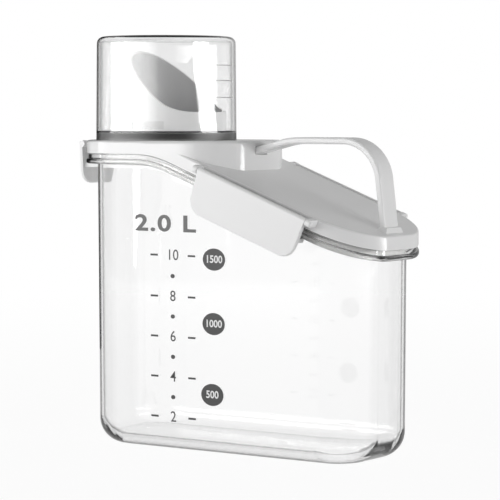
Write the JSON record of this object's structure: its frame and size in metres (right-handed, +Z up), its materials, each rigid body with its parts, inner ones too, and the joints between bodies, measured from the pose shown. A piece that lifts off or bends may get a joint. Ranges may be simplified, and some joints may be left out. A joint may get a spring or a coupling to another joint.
{
  "type": "dry food storage container",
  "caption": "Clear dry-food container with a sloping latched lid, a pouring spout under an upturned measuring cup, and a strap handle.",
  "frame": {"origin": "middle of the tank's flat base, where it stands", "axes": "+Z up, +X towards the handle's foot, -Y towards the face with the printed scale"},
  "size_m": [0.2201, 0.1058, 0.2433],
  "materials": {
    "clear_tank": "clear, polished",
    "clear_cup": "clear, polished",
    "white_plastic": "satin gloss",
    "white_latch": "satin gloss",
    "silicone": "matt, translucent",
    "dark_silicone": "matt"
  },
  "bodies": {
    "container": {"tank": "clear_tank", "lid": "white_plastic", "pour_spout": "white_plastic", "cup_seal": "dark_silicone", "lid_gasket": "silicone", "handle": "white_plastic"},
    "cup": {"measuring_cup": "clear_cup"},
    "front_flap": {"front_latch": "white_latch"},
    "rear_flap": {"rear_latch": "white_latch"},
    "end_flap": {"end_latch": "white_latch"}
  },
  "joints": [
    {"name": "cup_lift", "type": "slide", "parent": "container", "child": "cup", "axis": [0, 0, 1], "range_m": [0, 0.07]},
    {"name": "front_latch_hinge", "type": "hinge", "parent": "container", "child": "front_flap", "pos_m": [0.03679, -0.05066, 0.15156], "axis": [-0.9361, 0, 0.3518], "range_deg": [0, 110]},
    {"name": "rear_latch_hinge", "type": "hinge", "parent": "container", "child": "rear_flap", "pos_m": [0.03679, 0.05066, 0.15156], "axis": [0.9361, 0, -0.3518], "range_deg": [0, 110]},
    {"name": "end_latch_hinge", "type": "hinge", "parent": "container", "child": "end_flap", "pos_m": [-0.11411, 0, 0.1791], "axis": [0, 1, 0], "range_deg": [0, 110]}
  ]
}
